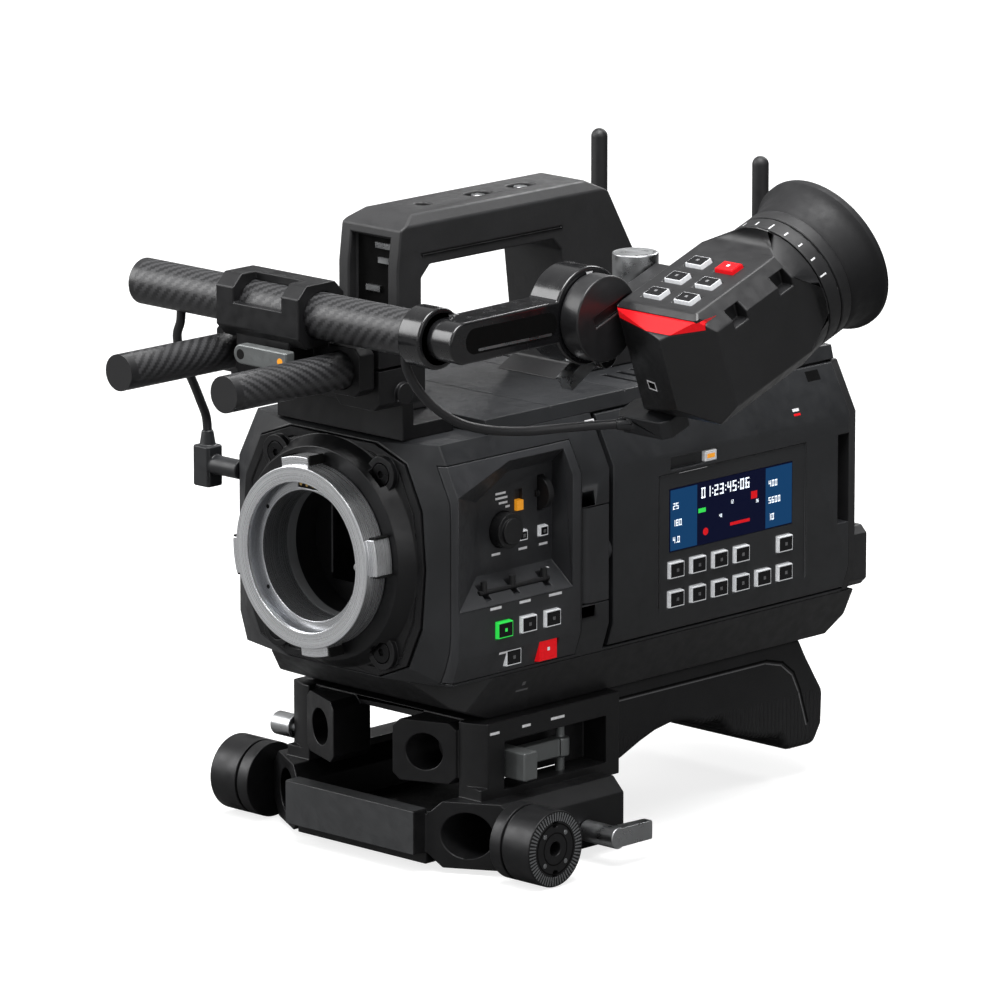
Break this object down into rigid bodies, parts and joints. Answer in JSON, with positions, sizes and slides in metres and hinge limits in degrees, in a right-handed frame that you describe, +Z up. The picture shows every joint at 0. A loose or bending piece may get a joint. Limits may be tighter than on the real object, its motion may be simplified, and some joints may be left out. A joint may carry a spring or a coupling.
{
  "type": "digital cinema camera",
  "caption": "Shoulder-mount digital cinema camera body with fold-out monitor, top handle, cross-tube viewfinder, antennas and a rod baseplate with rosettes.",
  "frame": {"origin": "centre of the lens mount's flange face", "axes": "+Z up, +X towards the operator's side with the monitor and the viewfinder, -Y out through the lens mount"},
  "size_m": [0.2655, 0.355, 0.2845],
  "materials": {
    "housing_paint": "satin dark grey paint",
    "tray_paint": "matt dark grey paint",
    "black_metal": "black anodised",
    "flange_steel": "ground",
    "gold": "gold plated",
    "sensor_coating": "coated",
    "circuit_board": "lacquered",
    "bare_aluminium": "satin",
    "screw_steel": "zinc",
    "carbon": "lacquered carbon weave",
    "pad_rubber": "matt foam rubber",
    "plug_plastic": "satin",
    "cable_jacket": "satin",
    "black_plastic": "moulded",
    "screen": "gloss",
    "slider_plastic": "satin",
    "green_plastic": "satin",
    "red_plastic": "gloss",
    "amber_plastic": "satin",
    "grey_aluminium": "bead blasted",
    "gloss_black": "gloss black anodised",
    "evf_paint": "satin black paint",
    "grip_rubber": "matt",
    "cup_rubber": "matt",
    "eyepiece_glass": "coated"
  },
  "bodies": {
    "camera": {"chassis_shell": "housing_paint", "bottom_tray": "tray_paint", "top_cover": "housing_paint", "mount_plate": "black_metal", "lens_flange": "flange_steel", "contact_pins": "gold", "sensor_module": "black_metal", "sensor_glass": "sensor_coating", "main_board": "circuit_board", "cooler_frame": "bare_aluminium", "rear_plate": "tray_paint", "control_panel": "housing_paint", "top_handle": "tray_paint", "screws": "screw_steel", "evf_rods": "carbon", "rod_clamp": "tray_paint", "base_frame": "tray_paint", "shoulder_pad": "pad_rubber", "rosettes": "black_metal", "hinge_pin": "screw_steel", "left_plug": "plug_plastic", "cable_left": "cable_jacket"},
    "lock_ring": {"lock_ring": "flange_steel"},
    "fan": {"fan_rotor": "black_plastic"},
    "monitor": {"monitor_hinge": "housing_paint", "monitor_door": "housing_paint", "status_screen": "screen", "touch_screen": "screen"},
    "door_keys_upper": {"door_keys_upper": "black_plastic"},
    "door_keys_lower": {"door_keys_lower": "black_plastic"},
    "door_slider": {"door_slider": "slider_plastic"},
    "green_key": {"green_key": "green_plastic"},
    "white_keys": {"white_keys": "black_plastic"},
    "low_key": {"low_key": "black_plastic"},
    "record_button": {"record_button": "red_plastic"},
    "menu_dial": {"menu_dial": "black_plastic"},
    "shelf_toggles": {"shelf_toggles": "black_plastic"},
    "power_switch": {"power_switch": "amber_plastic"},
    "thumb_wheel": {"thumb_wheel": "black_plastic"},
    "evf_bridge": {"evf_bridge": "tray_paint"},
    "tube_lever": {"tube_lever": "grey_aluminium"},
    "cross_tube": {"cross_tube": "carbon", "cable_core": "cable_jacket", "cable_right": "cable_jacket"},
    "evf_arm": {"evf_arm": "gloss_black"},
    "arm_lever": {"arm_lever": "bare_aluminium"},
    "top_knob": {"top_knob": "bare_aluminium"},
    "viewfinder": {"evf_body": "evf_paint", "evf_tally": "red_plastic", "eyecup": "cup_rubber", "eyepiece_lens": "eyepiece_glass", "evf_plug": "plug_plastic"},
    "evf_keys": {"evf_keys": "black_plastic"},
    "evf_record_key": {"evf_record_key": "red_plastic"},
    "diopter_ring": {"diopter_ring": "grip_rubber"},
    "antenna_left": {"antenna_left": "black_plastic"},
    "antenna_right": {"antenna_right": "black_plastic"},
    "base_lever": {"base_lever": "grey_aluminium"},
    "clamp_lever": {"clamp_lever": "bare_aluminium"},
    "clamp_knob": {"clamp_knob": "bare_aluminium"}
  },
  "joints": [
    {"name": "lock_ring_turn", "type": "hinge", "parent": "camera", "child": "lock_ring", "pos_m": [0, 0, 0], "axis": [0, 1, 0], "range_deg": [0, 35]},
    {"name": "fan_spin", "type": "hinge", "parent": "camera", "child": "fan", "pos_m": [0, 0.201, 0], "axis": [0, 1, 0], "continuous": true},
    {"name": "monitor_swing", "type": "hinge", "parent": "camera", "child": "monitor", "pos_m": [0.0575, 0.1, 0], "axis": [0, 0, -1], "range_deg": [0, 90]},
    {"name": "upper_keys_press", "type": "slide", "parent": "monitor", "child": "door_keys_upper", "axis": [-1, 0, 0], "range_m": [0, 0.0006], "stiffness_N_per_m": 600},
    {"name": "lower_keys_press", "type": "slide", "parent": "monitor", "child": "door_keys_lower", "axis": [-1, 0, 0], "range_m": [0, 0.0006], "stiffness_N_per_m": 600},
    {"name": "slider_travel", "type": "slide", "parent": "monitor", "child": "door_slider", "axis": [0, -1, 0], "range_m": [0, 0.02]},
    {"name": "green_key_press", "type": "slide", "parent": "camera", "child": "green_key", "axis": [-1, 0, 0], "range_m": [0, 0.0006], "stiffness_N_per_m": 600},
    {"name": "white_keys_press", "type": "slide", "parent": "camera", "child": "white_keys", "axis": [-1, 0, 0], "range_m": [0, 0.0006], "stiffness_N_per_m": 600},
    {"name": "low_key_press", "type": "slide", "parent": "camera", "child": "low_key", "axis": [-1, 0, 0], "range_m": [0, 0.0006], "stiffness_N_per_m": 600},
    {"name": "record_press", "type": "slide", "parent": "camera", "child": "record_button", "axis": [-1, 0, 0], "range_m": [0, 0.0006], "stiffness_N_per_m": 600},
    {"name": "menu_dial_turn", "type": "hinge", "parent": "camera", "child": "menu_dial", "pos_m": [0.0535, 0.0595, 0.0093], "axis": [1, 0, 0], "continuous": true},
    {"name": "toggles_rock", "type": "hinge", "parent": "camera", "child": "shelf_toggles", "pos_m": [0.0575, 0.0585, -0.01315], "axis": [0, 1, 0], "range_deg": [-16, 16], "stiffness_Nm_per_rad": 0.02},
    {"name": "power_switch_travel", "type": "slide", "parent": "camera", "child": "power_switch", "axis": [0, 0, 1], "range_m": [0, 0.004]},
    {"name": "thumb_wheel_turn", "type": "hinge", "parent": "camera", "child": "thumb_wheel", "pos_m": [0.0503, 0.082, 0.021], "axis": [0, 1, 0], "continuous": true},
    {"name": "bridge_slide", "type": "slide", "parent": "camera", "child": "evf_bridge", "axis": [0, -1, 0], "range_m": [0, 0.03], "deforming": ["cable_left"]},
    {"name": "tube_lever_turn", "type": "hinge", "parent": "evf_bridge", "child": "tube_lever", "pos_m": [-0.004, -0.032, 0.088], "axis": [0, -1, 0], "range_deg": [0, 70]},
    {"name": "tube_slide", "type": "slide", "parent": "evf_bridge", "child": "cross_tube", "axis": [1, 0, 0], "range_m": [-0.025, 0.015], "deforming": ["cable_left"]},
    {"name": "arm_swing", "type": "hinge", "parent": "cross_tube", "child": "evf_arm", "pos_m": [0.096, -0.016, 0.105], "axis": [1, 0, 0], "range_deg": [0, 60], "deforming": ["cable_right"]},
    {"name": "arm_lever_turn", "type": "hinge", "parent": "evf_arm", "child": "arm_lever", "pos_m": [0.096, 0.066, 0.088], "axis": [1, 0, 0], "range_deg": [0, 50]},
    {"name": "top_knob_turn", "type": "hinge", "parent": "evf_arm", "child": "top_knob", "pos_m": [0.094, 0.092, 0.118], "axis": [0, 0, 1], "continuous": true},
    {"name": "evf_tilt", "type": "hinge", "parent": "evf_arm", "child": "viewfinder", "pos_m": [0.107, 0.0545, 0.106], "axis": [1, 0, 0], "range_deg": [-25, 60], "deforming": ["cable_right"]},
    {"name": "evf_keys_press", "type": "slide", "parent": "viewfinder", "child": "evf_keys", "axis": [0, 0.342, -0.9397], "range_m": [0, 0.0006], "stiffness_N_per_m": 600},
    {"name": "evf_record_press", "type": "slide", "parent": "viewfinder", "child": "evf_record_key", "axis": [0, 0.342, -0.9397], "range_m": [0, 0.0006], "stiffness_N_per_m": 600},
    {"name": "diopter_turn", "type": "hinge", "parent": "viewfinder", "child": "diopter_ring", "pos_m": [0.14, 0.13148, 0.1138], "axis": [0, 0.9397, 0.342], "range_deg": [-60, 60]},
    {"name": "antenna_left_fold", "type": "hinge", "parent": "camera", "child": "antenna_left", "pos_m": [-0.046, 0.219, 0.062], "axis": [-1, 0, 0], "range_deg": [0, 90]},
    {"name": "antenna_right_fold", "type": "hinge", "parent": "camera", "child": "antenna_right", "pos_m": [0.046, 0.219, 0.062], "axis": [-1, 0, 0], "range_deg": [0, 90]},
    {"name": "base_lever_swing", "type": "hinge", "parent": "camera", "child": "base_lever", "pos_m": [0.0495, 0.095, -0.088], "axis": [0, 0, 1], "range_deg": [0, 40]},
    {"name": "clamp_lever_swing", "type": "hinge", "parent": "camera", "child": "clamp_lever", "pos_m": [0.085, 0.089, -0.119], "axis": [1, 0, 0], "range_deg": [0, 80]},
    {"name": "clamp_knob_turn", "type": "hinge", "parent": "camera", "child": "clamp_knob", "pos_m": [-0.06, 0.048, -0.09], "axis": [1, 0, 0], "continuous": true}
  ]
}
